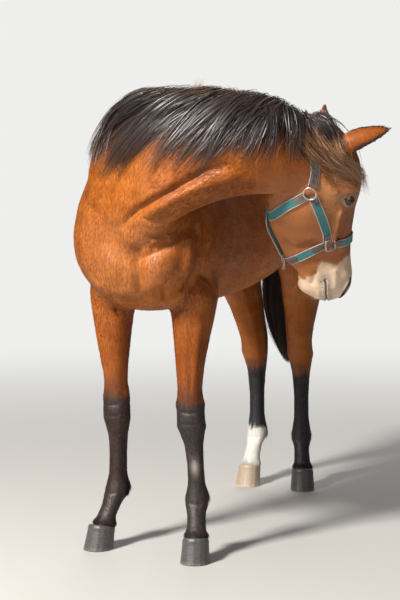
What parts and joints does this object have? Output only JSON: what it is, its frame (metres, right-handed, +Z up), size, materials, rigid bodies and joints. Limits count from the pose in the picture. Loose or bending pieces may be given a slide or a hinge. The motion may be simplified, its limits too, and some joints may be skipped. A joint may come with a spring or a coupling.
{
  "type": "horse",
  "caption": "Life-size museum model of a young bay horse standing with its neck bent round to its left and its head hanging, wearing a webbing halter.",
  "frame": {"origin": "on the floor, in the middle of the bounding box", "axes": "-Y is ahead of the trunk, +X is the horse's left, +Z is up"},
  "size_m": [1.1408, 1.8476, 1.5858],
  "materials": {
    "bay_coat": "short glossy bay coat with dark points and a pale muzzle",
    "long_hair": "coarse black-brown hair, bleached brown at the tips",
    "hoof_horn": "dark slate horn",
    "eye": "wet, very dark brown",
    "halter_webbing": "teal webbing with pale edging and leather overlays",
    "halter_steel": "worn steel"
  },
  "bodies": {
    "root": {"ear_left": "bay_coat", "ear_right": "bay_coat", "eye_left": "eye", "eye_right": "eye", "forelock": "long_hair", "halter_backband": "halter_webbing", "halter_cheek_left": "halter_webbing", "halter_cheek_right": "halter_webbing", "halter_crown": "halter_webbing", "halter_noseband": "halter_webbing", "halter_ring_chin": "halter_steel", "halter_ring_left": "halter_steel", "halter_ring_right": "halter_steel", "halter_square_left": "halter_steel", "halter_square_right": "halter_steel", "halter_throat": "halter_webbing", "halter_underjaw": "halter_webbing", "head": "bay_coat", "hoof_fore_left": "hoof_horn", "hoof_fore_right": "hoof_horn", "hoof_hind_left": "hoof_horn", "hoof_hind_right": "hoof_horn", "leg_fore_left": "bay_coat", "leg_fore_right": "bay_coat", "leg_hind_left": "bay_coat", "leg_hind_right": "bay_coat", "mane": "long_hair", "neck": "bay_coat", "tail": "long_hair", "trunk": "bay_coat"}
  },
  "joints": []
}
